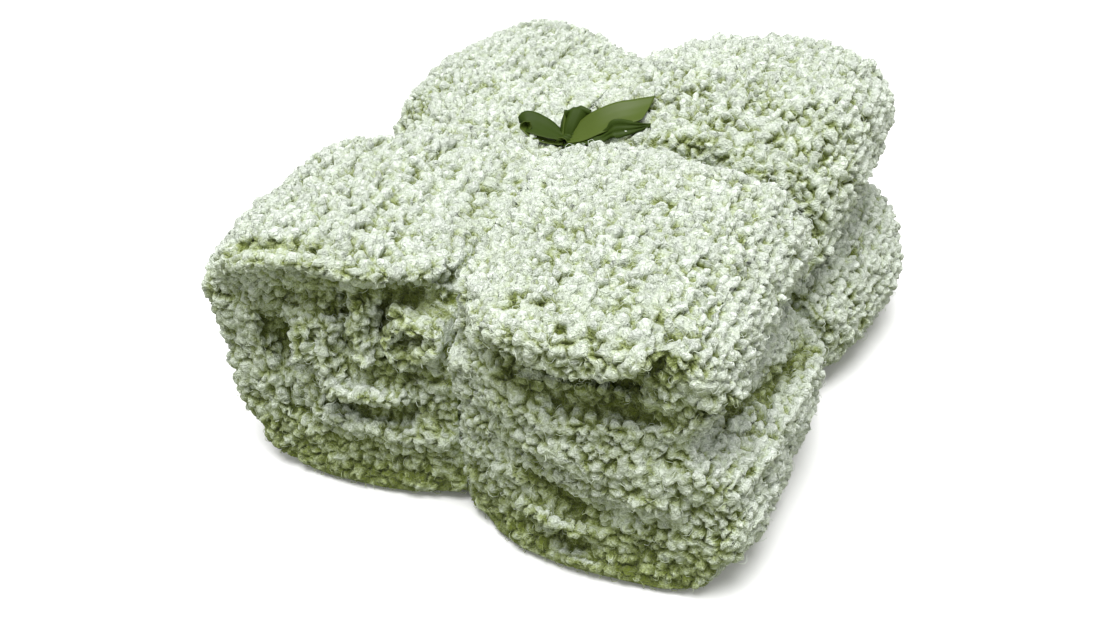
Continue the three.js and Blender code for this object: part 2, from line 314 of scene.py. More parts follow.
# 1 on the flat that the throw rests on
def underside(places, normals):
    return rise(-normals[:, 2], 0.3, 0.8) * (1 - rise(places[:, 2], knit["restFrom"], knit["restTo"]))


# pushes in the folds, the knit's rows and the dent of the knot, and paints shade into narrow creases and
# between the rows
def foldKnit(piece):
    places, normals = meshArrays(piece.data)
    grown = knit["closeSlits"] + knit["fillSeams"]
    move = np.full(len(places), -(grown + knit["pileDepth"]))
    aside = ribbonDistance(places)
    apart = rise(aside, 4 * mm, 13 * mm)
    shade = np.zeros(len(places))
    bent = places + noiseVectorsAt(places, fold["wanderScale"]) * fold["wander"]
    for face, depth, width, path in folds:
        across, up, outwards = faceAxes[face]
        path = smoothRows(np.array(path) * mm, 4)
        facing = rise(normals @ np.array(outwards), 0.15, 0.6)
        facing = facing * rise(places @ np.array(outwards), fold["reachFrom"], fold["reachTo"])
        away = pathDistance(bent[:, (across, up)], path) / (width * mm)
        amount = facing * apart * np.exp(-away ** 2)
        move += depth * mm * amount
        # painted shade inside the narrow creases
        if depth < 0 and width < fold["darkWidth"]:
            dark = min(-depth / fold["darkDepth"], 1)
            shade = np.maximum(shade, amount ** fold["darkSpread"] * dark)
    # rows of the knit, front to back over the top and the folds
    overFolds = abs(places[:, 0]) - places[:, 2]
    wander = knit["rowWander"] * noiseAt(places * knit["rowWanderScale"], 1)
    rowWave = np.cos(2 * math.pi * (overFolds / knit["rowPitch"] + wander))
    rowShare = rise(1 - abs(normals[:, 1]), 0.25, 0.7)
    move += knit["rowHeight"] * rowWave * rowShare
    swell = noiseAt(places, knit["swellScale"])
    clumps = noiseAt(places, knit["clumpScale"])
    move += knit["swellHeight"] * 2 * swell + knit["clumpHeight"] * 2 * clumps
    fromKnot = np.hypot(places[:, 0] - crossing["x"], places[:, 1] - crossing["y"])
    move -= knit["underKnot"] * np.exp(-(fromKnot / knit["knotReach"]) ** 2)
    # it bulges beside the ribbon
    beside = rise(aside, 2.5 * mm, 6.5 * mm) * (1 - rise(aside, 9 * mm, 28 * mm))
    move += knit["besideRibbon"] * beside
    rested = underside(places, normals)
    move = move * (1 - rested) - grown * rested
    places += normals * move[:, None]
    places[:, 2] = np.maximum(places[:, 2], -1 * mm)
    movePoints(piece.data, places)
    # painted shade between the rows
    shade = np.maximum(shade, knit["rowShade"] * rowShare * rise(-rowWave, 0.3, 1))
    # even faces again on the walls of the folds
    remeshed(piece, knit["voxel"], 1)
    tree = treeOf(places)
    places, normals = meshArrays(piece.data)
    nearest = np.array([tree.find(place)[1] for place in places.tolist()])
    return shade[nearest], (rowWave * rowShare)[nearest]


# the two sides close over the ribbon
def leanOverRibbon(piece):
    places, normals = meshArrays(piece.data)
    rested = underside(places, normals)
    for axis, at in ((0, crossing["x"]), (1, crossing["y"])):
        off = places[:, axis] - at
        lean = knit["overRibbon"] * rise(abs(off), 3 * mm, 6 * mm) * (1 - rise(abs(off), 7 * mm, 20 * mm))
        lean = np.minimum(lean, np.maximum(abs(off) - knit["leanStop"], 0))
        places[:, axis] -= np.sign(off) * lean * (1 - rested)
    places[:, 2] = np.maximum(places[:, 2], knit["clearOfFloor"])
    movePoints(piece.data, places)


# the lumps that the yarn knots into, and how pale it is, with painted shade in crevices, creases and low on
# the front
lump = {
    "apart": 4.9 * mm,
    "ontoRows": 1.6,           # how strongly they gather on the tops of the rows
    "joined": 0.22,            # share of them that run into their neighbours
    "warp": 3.2 * mm,          # how uneven their outlines are
    "warpScale": 230,
    "height": 3.6 * mm,
    "creviceFall": 2.4,        # higher is narrower
    "pitScale": 130,           # where the crevices between them are deep
    "pitDepth": 1.5,
    "frontDepth": 0.02,
    "roughness": 1.5 * mm,
    "grainScale": 290,
    "lowFrontTo": 56 * mm,     # painted shade darkens the front below here
    "paleness": 0.95,          # 1 at the tips of the pile and 0 deep down
    # painted light and shade: raised grain is paler, while crevices, creases and front faces are darker
    "grainShade": 0.28,
    "creviceShade": 0.72,
    "foldShade": 0.85,
    "frontShade": 0.27,
}


# raises the lumps, with deep uneven crevices between them, and paints shade into the crevices, the creases
# and the front faces
def lumpKnit(piece, shade, rowTops):
    places, normals = meshArrays(piece.data)
    lowFront = rise(-normals[:, 1], 0.2, 0.7) * (1 - rise(places[:, 2], 6 * mm, lump["lowFrontTo"]))
    leanOverRibbon(piece)
    places, normals = meshArrays(piece.data)
    aside = ribbonDistance(places)
    pits = noiseAt(places, lump["pitScale"])
    # painted shade low on the front, uneven with the pits
    shade = np.maximum(shade, lowFront * np.clip(0.5 + 0.5 * pits, 0, 0.75))
    rng = np.random.default_rng(knit["seed"])
    chance = rng.uniform(0, 2.2, len(places)) - lump["ontoRows"] * rowTops
    lumps = places[spacedPoints(places, lump["apart"], np.argsort(chance))]
    lumps = lumps[rng.uniform(0, 1, len(lumps)) > lump["joined"]]
    tree = treeOf(lumps)
    warped = places + lump["warp"] * noiseVectorsAt(places, lump["warpScale"])
    nearest = [tree.find_n(place, 2) for place in warped.tolist()]
    gap = np.array([second[2] - first[2] for first, second in nearest])
    owner = np.array([first[1] for first, second in nearest])
    edge = np.clip(gap / (0.8 * lump["apart"]), 0, 1)       # 0 between two lumps
    bulk = rng.uniform(0, 1.2, len(lumps))[owner]
    onFront = rise(-normals[:, 1], 0.2, 0.8)
    pitted = np.clip(0.9 + lump["pitDepth"] * pits + lump["frontDepth"] * onFront, 0.1, 1.7)
    crevice = (1 - edge) ** lump["creviceFall"] * pitted
    grain = noiseAt(places, lump["grainScale"])
    lift = lump["height"] * (0.5 * bulk * np.sqrt(edge) - crevice) + lump["roughness"] * grain
    lift *= rise(places[:, 2], 3 * mm, 12 * mm) * rise(aside, 1 * mm, 6 * mm)
    places += normals * lift[:, None]
    places[:, 2] = np.maximum(places[:, 2], knit["clearOfFloor"])
    movePoints(piece.data, places)
    tones = rng.uniform(0, 1, len(lumps))[owner]
    # painted light and shade: paler on raised grain, darker in crevices, in creases and on the front faces
    shadeAndTone = (lump["paleness"] + lump["grainShade"] * grain - lump["creviceShade"] * crevice
              - lump["foldShade"] * shade - lump["frontShade"] * onFront)
    setValues(piece.data, "toneAndPaintedShade", np.clip(shadeAndTone, 0, 1))
    setValues(piece.data, "tone", tones)


# a value at each vertex, which the materials read as an attribute
def setValues(mesh, name, values):
    layer = mesh.attributes.get(name) or mesh.attributes.new(name, "FLOAT", "POINT")
    layer.data.foreach_set("value", values.astype(np.float32))


def getValues(mesh, name):
    values = np.zeros(len(mesh.vertices), np.float32)
    mesh.attributes[name].data.foreach_get("value", values)
    return values.astype(float)


# picks points in the given order that are at least a spacing apart
def spacedPoints(points, spacing, order):
    grid, kept = {}, []
    limit = spacing * spacing
    around = [(x, y, z) for x in (-1, 0, 1) for y in (-1, 0, 1) for z in (-1, 0, 1)]
    cells = np.floor(points / spacing).astype(int).tolist()
    rows = points.tolist()
    for i in order.tolist():
        x, y, z = rows[i]
        cx, cy, cz = cells[i]
        taken = any((x - q[0]) ** 2 + (y - q[1]) ** 2 + (z - q[2]) ** 2 < limit
                    for dx, dy, dz in around for q in grid.get((cx + dx, cy + dy, cz + dz), ()))
        if not taken:
            grid.setdefault((cx, cy, cz), []).append((x, y, z))
            kept.append(i)
    return np.array(kept)


# the flat of the underside needs few faces
def thinUnderside(mesh):
    bm = bmesh.new()
    bm.from_mesh(mesh)
    low = knit["clearOfFloor"] + 0.01 * mm
    flat = [v for v in bm.verts if v.co.z < low and all(e.other_vert(v).co.z < low for e in v.link_edges)]
    inner = [e for e in bm.edges if e.verts[0].co.z < low and e.verts[1].co.z < low and len(e.link_faces) == 2
             and all(v.co.z < low for f in e.link_faces for v in f.verts)]
    bmesh.ops.dissolve_limit(bm, angle_limit=math.radians(3), verts=flat, edges=inner)
    bmesh.ops.triangulate(bm, faces=[f for f in bm.faces if len(f.verts) > 4])
    bm.to_mesh(mesh)
    bm.free()


# quarters of the block, closed where the ribbon's runs part them
def quarter(mesh, name, sideX, sideY):
    bm = bmesh.new()
    bm.from_mesh(mesh)
    for axis, side, at in ((0, sideX, crossing["x"]), (1, sideY, crossing["y"])):
        place, facing = Vector((0, 0, 0)), Vector((0, 0, 0))
        place[axis], facing[axis] = at, -side
        everything = bm.verts[:] + bm.edges[:] + bm.faces[:]
        bmesh.ops.bisect_plane(bm, geom=everything, dist=1e-6, plane_co=place, plane_no=facing,
                               clear_outer=True)
        rim = [edge for edge in bm.edges if edge.is_boundary]
        bmesh.ops.holes_fill(bm, edges=rim, sides=0)
    bmesh.ops.triangulate(bm, faces=[f for f in bm.faces if len(f.verts) > 4])
    cut = bpy.data.meshes.new(name)
    bm.to_mesh(cut)
    bm.free()
    cut.shade_smooth()
    return linkObject(name, cut)


# the loose fibres of the pile
pile = {
    "apart": 5.2 * mm,        # between the middles of neighbouring fibres
    "length": 6 * mm,
    "height": 1.9 * mm,
    "yarn": 0.14 * mm,        # radius of a fibre
    "turn": (60, 280),        # how far one curls round, in degrees
    "sides": 3,
    "steps": 3,
    "shapes": 24,             # different fibres, each used many times
    "tries": 320000,
    "offRibbon": 5 * mm,
    "clearOfFloor": 0.6 * mm,
    "bareBelow": 8 * mm,      # none grow on the underside
    "seed": 7,
}


# One fibre that arches over, as points with their height and their side of the yarn.
def makeFibre(rng):
    bm = bmesh.new()
    bmesh.ops.create_cone(bm, cap_ends=True, segments=pile["sides"], radius1=1, radius2=1, depth=1)
    long = [edge for edge in bm.edges if abs(edge.verts[0].co.z - edge.verts[1].co.z) > 0.5]
    bmesh.ops.subdivide_edges(bm, edges=long, cuts=pile["steps"] - 1)
    bmesh.ops.triangulate(bm, faces=bm.faces)
    bm.verts.ensure_lookup_table()
    turn = math.radians(rng.uniform(*pile["turn"]))
    length = pile["length"] * rng.uniform(0.75, 1.25)
    height = pile["height"] * rng.uniform(0.7, 1.3)
    thick = pile["yarn"] * rng.uniform(0.75, 1.3)
    radius = length / turn
    points, heights, sides = [], [], []

    def pathAt(t):
        angle = turn * (t - 0.5)
        return Vector((radius * math.sin(angle), radius * (math.cos(angle) - math.cos(turn / 4)),
                       height * math.sin(math.pi * t) - 0.9 * thick))

    for vert in bm.verts:
        t = vert.co.z + 0.5
        forward = (pathAt(min(1, t + 0.1)) - pathAt(max(0, t - 0.1))).normalized()
        side = forward.cross(Vector((0, 0, 1))).normalized()
        other = forward.cross(side)
        plump = thick * (0.75 + 0.45 * math.sin(math.pi * min(1, t + 0.08))) * rng.uniform(0.85, 1.15)
        points.append(pathAt(t) + (side * vert.co.x + other * vert.co.y) * plump)
        heights.append(points[-1].z / (height + thick))
        sides.append(math.atan2(vert.co.y, vert.co.x) / (2 * math.pi) * 0.02)
    triangles = [[v.index for v in face.verts] for face in bm.faces]
    bm.free()
    return np.array(points), np.array(triangles), np.array(heights), np.array(sides)


# random points all over the knit, with their normals and the knit's two values there
def pointsOnKnit(mesh, each, rng):
    places, normals = meshArrays(mesh)
    values = np.column_stack([places, normals, getValues(mesh, "toneAndPaintedShade"), getValues(mesh, "tone")])
    mesh.calc_loop_triangles()
    corners = np.zeros(len(mesh.loop_triangles) * 3, np.int32)
    mesh.loop_triangles.foreach_get("vertices", corners)
    corners = corners.reshape(-1, 3)
    areas = np.zeros(len(corners), np.float32)
    mesh.loop_triangles.foreach_get("area", areas)
    picked = rng.choice(len(corners), each, p=areas.astype(float) / areas.sum(dtype=float))
    u, v = np.sqrt(rng.uniform(0, 1, (each, 1))), rng.uniform(0, 1, (each, 1))
    a, b, c = (values[corners[picked, k]] for k in range(3))
    mixed = (1 - u) * a + u * (1 - v) * b + u * v * c
    bare = (mixed[:, 2] < pile["bareBelow"]) & (mixed[:, 5] < -0.7)
    mixed = mixed[~bare]
    return mixed[:, :3], unit(mixed[:, 3:6]), mixed[:, 6], mixed[:, 7]


def makePile(mesh, ribbonPiece):
    ribbonTree = surfaceTree(ribbonPiece.data)
    rng = np.random.default_rng(pile["seed"])
    shapes = [makeFibre(rng) for _ in range(pile["shapes"])]
    points, normals, shadeAndTone, tone = pointsOnKnit(mesh, pile["tries"], rng)
    kept = spacedPoints(points, pile["apart"], rng.permutation(len(points)))
    clear = [ribbonTree.find_nearest(Vector(points[i]), pile["offRibbon"])[0] is None for i in kept]
    kept = kept[clear]
    points, normals, shadeAndTone, tone = points[kept], normals[kept], shadeAndTone[kept], tone[kept]
    count = len(points)
    size = rng.uniform(0.8, 1.2, count)
    tone = np.clip(0.1 + 0.45 * tone + rng.normal(0, 0.12, count), 0.02, 0.98)
    axis = unit(normals + rng.normal(0, 0.25, (count, 3)))
    helper = np.where(abs(axis[:, 2:3]) < 0.9, np.array([[0, 0, 1.0]]), np.array([[1.0, 0, 0]]))
    across = unit(np.cross(helper, axis))
    along = np.cross(axis, across)
    spin = rng.uniform(0, 2 * math.pi, (count, 1))
    across, along = (across * np.cos(spin) + along * np.sin(spin),
                     along * np.cos(spin) - across * np.sin(spin))
    kind = rng.integers(0, len(shapes), count)

    isLeft = points[:, 0] < crossing["x"]
    isFront = points[:, 1] < crossing["y"]
    isUpper = normals[:, 2] > 0.5
    lobes = {"FrontLeft": isLeft & isFront, "FrontRight": ~isLeft & isFront,
             "BackLeft": isLeft & ~isFront, "BackRight": ~isLeft & ~isFront}
    pieces = []
    for lobe, inLobe in lobes.items():
        for level, inLevel in (("Upper", isUpper), ("Lower", ~isUpper)):
            verts, faces, uvs = [], [], []
            first = 0
            for k, (shape, triangles, heights, sides) in enumerate(shapes):
                at = np.nonzero(inLobe & inLevel & (kind == k))[0]
                local = shape[None] * size[at][:, None, None]
                placed = (points[at][:, None] + local[..., 0:1] * across[at][:, None]
                          + local[..., 1:2] * along[at][:, None] + local[..., 2:3] * axis[at][:, None])
                # painted light: each fibre is paler towards its tip, above the knit's level of painted shade
                height = shadeAndTone[at][:, None] + 0.15 * heights[None]
                verts.append(placed.reshape(-1, 3))
                uvs.append(np.stack([np.clip(height, 0.01, 0.99).ravel(),
                                     (tone[at][:, None] + sides[None]).ravel()], 1))
                starts = first + np.arange(len(at)) * len(shape)
                faces.append((triangles[None] + starts[:, None, None]).reshape(-1, 3))
                first += len(at) * len(shape)
            pieces.append(joinedMesh("pile" + lobe + level, np.concatenate(verts), np.concatenate(faces),
                                     np.concatenate(uvs)))
    print("pile:", count, "fibres,", [triangleCount(piece) for piece in pieces], "triangles")
    return pieces


# many copies of the fibres as one piece
def joinedMesh(name, verts, faces, uvs):
    verts[:, 2] = np.maximum(verts[:, 2], pile["clearOfFloor"])
    mesh = bpy.data.meshes.new(name)
    mesh.vertices.add(len(verts))
    mesh.vertices.foreach_set("co", verts.astype(np.float32).ravel())
    corners = faces.ravel().astype(np.int32)
    mesh.loops.add(len(corners))
    mesh.loops.foreach_set("vertex_index", corners)
    mesh.polygons.add(len(faces))
    mesh.polygons.foreach_set("loop_start", np.arange(0, len(corners), 3, dtype=np.int32))
    layer = mesh.uv_layers.new(name="OFBake")
    layer.data.foreach_set("uv", uvs.astype(np.float32)[corners].ravel())
    mesh.update(calc_edges=True)
    mesh.shade_smooth()
    piece = linkObject(name, mesh)
    piece.cycles.shadow_terminator_geometry_offset = 0.3
    piece.cycles.shadow_terminator_offset = 0.1
    return piece


# the ribbon
ribbon = {
    "width": 16 * mm,
    "length": 1.8,
    "thickness": 0.35 * mm,
    "acrossCount": 12,
    "gathered": 6.4 * mm,      # how narrow it is pulled between the folds
    "pleats": 6,
    "pleatDepth": 0.9 * mm,
    "bowPleat": 1.5 * mm,
    "clear": 0.5 * mm,         # off the knit, between the folds
    "tailClear": 1 * mm,       # off the knit, under a tail
    "step": 5 * mm,
    "overItself": 0.8 * mm,    # where the two runs cross
    "overSpread": 9 * mm,
    "cut": 6.5 * mm,           # slant of the broad tail's end
    "cutFrom": 0.75,           # share of its length where the slant starts
    "cupFrom": 0.35,           # share of the half width where the edges start to lift
}

knot = {
    "middle": (-12.7 * mm, 10 * mm, 149 * mm),
    "shift": 1 * mm,
    "across": 3.4 * mm,        # radius
    "up": 3.6 * mm,
    "width": 8 * mm,
    "pleatDepth": 0.9 * mm,
    "lies": (0.25, 0.97, 0),   # along its width
    "rings": 33,
}

# The bow's pieces, in millimetres from the middle of the knot: where the ribbon's middle line runs,
# the share of its width that is open, and the heading and slope of that width in degrees.
bow = {
    "leftLoop": [(0, 0, 2, 0.44, -70, 0), (-7, 0.5, 4, 0.85, -66, -10), (-14, 1, 6.2, 1, -60, -20),
                 (-20, 1, 8, 1, -55, -24), (-24, 0.8, 8.6, 0.9, -50, -26), (-24.2, 0.2, 7.6, 0.85, -50, -24),
                 (-18.5, -0.8, 4.2, 0.9, -57, -14), (-11, -1.4, 1.4, 0.75, -64, -6),
                 (0, -1, -0.5, 0.44, -70, 0)],
    "uprightLoop": [(1, 2, 0, 0.5, 20, 0), (1.5, 6, 6.5, 0.8, 22, 8), (2.5, 11, 12, 0.95, 24, 14),
                    (3, 14, 14.2, 0.95, 24, 16), (3, 13.5, 12, 0.95, 24, 12), (2.5, 9, 6, 0.8, 22, 6),
                    (1, 3, 0, 0.5, 20, 0)],
    "broadTail": [(1, 0, 1, 0.5, 104, 10), (9, 3.5, 5.5, 0.9, 106, 28), (18, 8, 11, 1, 110, 34),
                  (28, 13.5, 15, 1, 114, 32), (37, 18, 16.5, 1, 118, 26), (44, 22.5, 17.5, 0.95, 124, 18)],
    "narrowTail": [(1, -1, -0.5, 0.5, 96, 0), (11, -0.5, 0.5, 0.6, 98, 14), (20, 1, 3.5, 0.6, 102, 34),
                   (26, 3, 8, 0.42, 106, 52), (30.5, 4.5, 10.5, 0.7, 110, 62), (38, 8.5, 9, 0.5, 114, 54),
                   (48, 14, 6, 0.1, 120, 30)],
}


def lengthsAlong(path):
    return np.concatenate([[0], np.cumsum(np.linalg.norm(np.diff(path, axis=0), axis=1))])


# Lays a flat grid along a path: its length follows the path and its width the side directions.
# A cup lifts the two edges, and the last flag turns the ribbon's back, duller and darker with painted shade,
# to the top.
def laidStrip(bm, path, sides, widths, pleat, closed=False, cut=0, cup=0, shadedBackUp=False):
    count = len(path)
    made = bmesh.ops.create_grid(bm, x_segments=count - 1, y_segments=ribbon["acrossCount"], size=0.5)
    made = made["verts"]
    uvLayer = bm.loops.layers.uv.verify()
    lengths = lengthsAlong(path)
    if closed:
        forward = unit(np.roll(path, -1, 0) - np.roll(path, 1, 0))
        forward[0] = forward[-1] = unit(path[1] - path[-2])
    else:
        forward = unit(np.gradient(path, axis=0))
    outwards = unit(np.cross(forward, sides))
    marks = {}
    for vert in made:
        row = round((vert.co.x + 0.5) * (count - 1))
        v = vert.co.y * 2
        marks[vert] = (lengths[row], v)
        folded = pleat[row] * math.cos(v * ribbon["pleats"] / 2 * math.pi)
        folded += cup * (max(0, abs(v) - ribbon["cupFrom"]) - 0.2) * widths[row]
        slant = cut * v * max(0, (row / count - ribbon["cutFrom"]) / (1 - ribbon["cutFrom"]))
        vert.co = Vector(path[row] + sides[row] * v * widths[row] / 2 + outwards[row] * folded
                         + forward[row] * slant)
    faces = list({face for vert in made for face in vert.link_faces})
    for face in faces:
        for loop in face.loops:
            loop[uvLayer].uv = marks[loop.vert]
    if shadedBackUp:
        bmesh.ops.reverse_faces(bm, faces=faces)


# Where the ribbon lies on the knit in one upright plane, found from outside all the way round.
def bandPath(tree, axis):
    middle = Vector((crossing["x"], crossing["y"], 75 * mm))
    outside = 0.4
    flat = []
    for angle in np.arange(0, 360, 1.5):
        direction = Vector((0, 0, math.sin(math.radians(angle))))
        direction[1 - axis] = math.cos(math.radians(angle))
        place = tree.ray_cast(middle + direction * outside, -direction)[0] + direction * ribbon["clear"]
        flat.append((place[1 - axis], place.z))
    flat = np.array(flat)
    for _ in range(10):
        flat = (np.roll(flat, 1, 0) + 2 * flat + np.roll(flat, -1, 0)) / 4
    flat = np.vstack([flat, flat[:1]])
    lengths = lengthsAlong(flat)
    steps = np.linspace(0, lengths[-1], int(lengths[-1] / ribbon["step"]))
    path = np.zeros((len(steps), 3))
    path[:, axis] = middle[axis]
    path[:, 1 - axis] = np.interp(steps, lengths, flat[:, 0])
    path[:, 2] = np.interp(steps, lengths, flat[:, 1])
    return path


# Lifts a path where it would sink into the knit.
def restedOn(tree, path, sides, spread):
    lift = np.zeros(len(path))
    for v in (-1, -0.5, 0, 0.5, 1):
        for i, place in enumerate(path + sides * (v * spread * ribbon["width"] / 2)[:, None]):
            hit = tree.ray_cast(Vector((place[0], place[1], 0.3)), Vector((0, 0, -1)))[0]
            lift[i] = max(lift[i], hit.z + ribbon["tailClear"] - place[2])
    lift[:6] *= np.linspace(0, 1, 6)
    for _ in range(25):
        lift[1:-1] = (lift[:-2] + 2 * lift[1:-1] + lift[2:]) / 4
    path = path.copy()
    path[:, 2] += lift
    return path


def makeRibbon(knitMesh):
    tree = surfaceTree(knitMesh)
    bm = bmesh.new()
    total = 0
    for axis in (0, 1):
        path = bandPath(tree, axis)
        if axis == 1:
            hump = np.exp(-((path[:, 0] - crossing["x"]) / ribbon["overSpread"]) ** 2)
            path[:, 2] += ribbon["overItself"] * hump * (path[:, 2] > 0.1)      # on the top alone
        sides = np.zeros_like(path)
        sides[:, axis] = 1
        widths = np.full(len(path), ribbon["gathered"])
        laidStrip(bm, path, sides, widths, np.full(len(path), ribbon["pleatDepth"]), closed=True)
        total += lengthsAlong(path)[-1]
    middle = np.array(knot["middle"])
    for name, rows in bow.items():
        rows = smoothRows(rows, 8)
        path = rows[:, :3] * mm + middle
        turn, lean = np.radians(rows[:, 4]), np.radians(rows[:, 5])
        sides = np.stack([np.cos(turn) * np.cos(lean), np.sin(turn) * np.cos(lean), np.sin(lean)], 1)
        forward = unit(np.gradient(path, axis=0))
        sides = unit(sides - forward * (sides * forward).sum(1, keepdims=True))
        spread = np.clip(rows[:, 3], 0.1, 1)
        if name == "narrowTail":
            path = restedOn(tree, path, sides, spread)
        pleat = ribbon["bowPleat"] * (1 - spread) ** 1.5
        # the left loop and the narrow tail show the back, darker with painted shade
        laidStrip(bm, path, sides, spread * ribbon["width"], pleat,
                  cut=ribbon["cut"] if name == "broadTail" else 0,
                  cup=0.5 if name == "uprightLoop" else 0.08,
                  shadedBackUp=name in ("leftLoop", "narrowTail"))
        total += lengthsAlong(path)[-1]
    rings = knot["rings"]
    around = np.radians(np.linspace(0, 360, rings))
    ring = np.column_stack([middle[0] + knot["shift"] + knot["across"] * np.cos(around),
                            np.full(rings, middle[1]),
                            middle[2] + knot["up"] * np.sin(around)])
    sides = np.tile(knot["lies"], (rings, 1))
    laidStrip(bm, ring, sides, np.full(rings, knot["width"]), np.full(rings, knot["pleatDepth"]), closed=True)
    bmesh.ops.remove_doubles(bm, verts=bm.verts, dist=0.01 * mm)
    mesh = bpy.data.meshes.new("ribbonBow")
    bm.to_mesh(mesh)
    bm.free()
    piece = linkObject("ribbonTie", mesh)
    wall = piece.modifiers.new("thickness", "SOLIDIFY")
    wall.thickness = ribbon["thickness"]
    wall.offset = 0
    wall.material_offset = 1
    wall.material_offset_rim = 0
    mesh.materials.append(bpy.data.materials.new("satinFace"))
    mesh.materials.append(bpy.data.materials.new("satinBackShaded"))
    applyModifiers(piece)
    piece.data.shade_smooth()
    print("ribbon:", round(total, 3), "m,", triangleCount(piece), "triangles")
    return piece


whole = makeKnit()
shade, rowTops = foldKnit(whole)
print("folds pressed in:", len(folds))
lumpKnit(whole, shade, rowTops)
thinUnderside(whole.data)
knitPieces = [quarter(whole.data, "knit" + name, sideX, sideY) for name, sideX, sideY in
              (("FrontLeft", -1, -1), ("FrontRight", 1, -1), ("BackLeft", -1, 1), ("BackRight", 1, 1))]
ribbonPiece = makeRibbon(whole.data)
pilePieces = makePile(whole.data, ribbonPiece)
bpy.data.objects.remove(whole)
print("knit:", [triangleCount(piece) for piece in knitPieces], "triangles")


# materials
def newMaterial(name):
    material = bpy.data.materials.get(name) or bpy.data.materials.new(name)
    material.use_nodes = True
    return material, material.node_tree, material.node_tree.nodes["Principled BSDF"]


def addNode(tree, kind, **values):
    node = tree.nodes.new("ShaderNode" + kind)
    for key, value in values.items():
        if key in node.inputs.keys():
            node.inputs[key].default_value = value
        else:
            setattr(node, key, value)
    return node


def mapRange(tree, given, wanted):
    return addNode(tree, "MapRange", **{"From Min": given[0], "From Max": given[1],
                                        "To Min": wanted[0], "To Max": wanted[1]})


def finish(shader, values):
    for name, value in values.items():
        shader.inputs[name].default_value = value


def colourRamp(tree, stops):
    ramp = tree.nodes.new("ShaderNodeValToRGB")
    elements = ramp.color_ramp.elements
    while len(elements) < len(stops):
        elements.new(0.5)
    for element, (position, colour) in zip(elements, stops):
        element.position = position
        element.color = (*colour, 1)
    return ramp


yarn = {
    "colours": [(0.0, (0.17, 0.215, 0.025)), (0.25, (0.42, 0.49, 0.215)), (0.55, (0.67, 0.745, 0.59)),
                (0.95, (0.82, 0.88, 0.795))],      # from deep down, darkest where the painted shade is, to the pale tips
    "streaks": (-0.17, 0.1),       # how far the fibres move the colour along them, partly fibre colour and partly painted shade of their bumps
    "tones": (0.86, 1.06),         # darkest and palest lump
    "dim": (0.88, 1.05),           # darkest and palest fibre, partly fibre colour and partly painted shade of their bumps
    "finish": {"Roughness": 1, "Sheen Weight": 0.25, "Sheen Roughness": 0.5,
               "Sheen Tint": (0.88, 0.95, 0.76, 1)},
    "fibreScale": 400,
    "fibreTwist": 1.6,
    "fibreBump": 3.2 * mm,
    "gapScale": 250,               # painted shade in thin gaps between the finest fibres
    "gapShade": 0.75,
    "gapBend": 6 * mm,
    "gapBendScale": 330,
}


# the yarn's colour, from its level of painted shade and random grain tone, its own tone and its fibres
def yarnTint():
    tree = bpy.data.node_groups.new("yarnTint", "ShaderNodeTree")
    tree.interface.new_socket("PaintedShadeAndTone", in_out="INPUT", socket_type="NodeSocketFloat")
    tree.interface.new_socket("Tone", in_out="INPUT", socket_type="NodeSocketFloat")
    tree.interface.new_socket("Fibres", in_out="INPUT", socket_type="NodeSocketFloat")
    tree.interface.new_socket("Color", in_out="OUTPUT", socket_type="NodeSocketColor")
    given = tree.nodes.new("NodeGroupInput")
    out = tree.nodes.new("NodeGroupOutput")
    streak = mapRange(tree, (0.3, 0.7), yarn["streaks"])
    tree.links.new(given.outputs["Fibres"], streak.inputs["Value"])
    level = addNode(tree, "Math", operation="ADD")
    tree.links.new(given.outputs["PaintedShadeAndTone"], level.inputs[0])
    tree.links.new(streak.outputs["Result"], level.inputs[1])
    ramp = colourRamp(tree, yarn["colours"])
    tree.links.new(level.outputs["Value"], ramp.inputs["Fac"])
    tone = mapRange(tree, (0, 1), yarn["tones"])
    tree.links.new(given.outputs["Tone"], tone.inputs["Value"])
    dim = mapRange(tree, (0.35, 0.6), yarn["dim"])
    tree.links.new(given.outputs["Fibres"], dim.inputs["Value"])
    value = addNode(tree, "Math", operation="MULTIPLY")
    tree.links.new(tone.outputs["Result"], value.inputs[0])
    tree.links.new(dim.outputs["Result"], value.inputs[1])
    tint = addNode(tree, "HueSaturation")
    tree.links.new(ramp.outputs["Color"], tint.inputs["Color"])
    tree.links.new(value.outputs["Value"], tint.inputs["Value"])
    tree.links.new(tint.outputs["Color"], out.inputs["Color"])
    return tree


yarnColour = yarnTint()


# the loose fibres, with their two values in their UV map
def pileMaterial():
    material, tree, shader = newMaterial("pile")
    uv = addNode(tree, "UVMap", uv_map="OFBake")
    parts = addNode(tree, "SeparateXYZ")
    tree.links.new(uv.outputs["UV"], parts.inputs["Vector"])
    tint = addNode(tree, "Group", node_tree=yarnColour)
    tree.links.new(parts.outputs["X"], tint.inputs["PaintedShadeAndTone"])
    tree.links.new(parts.outputs["Y"], tint.inputs["Tone"])
    tint.inputs["Fibres"].default_value = 0.55
    tree.links.new(tint.outputs["Color"], shader.inputs["Base Color"])
    finish(shader, yarn["finish"])
    return material


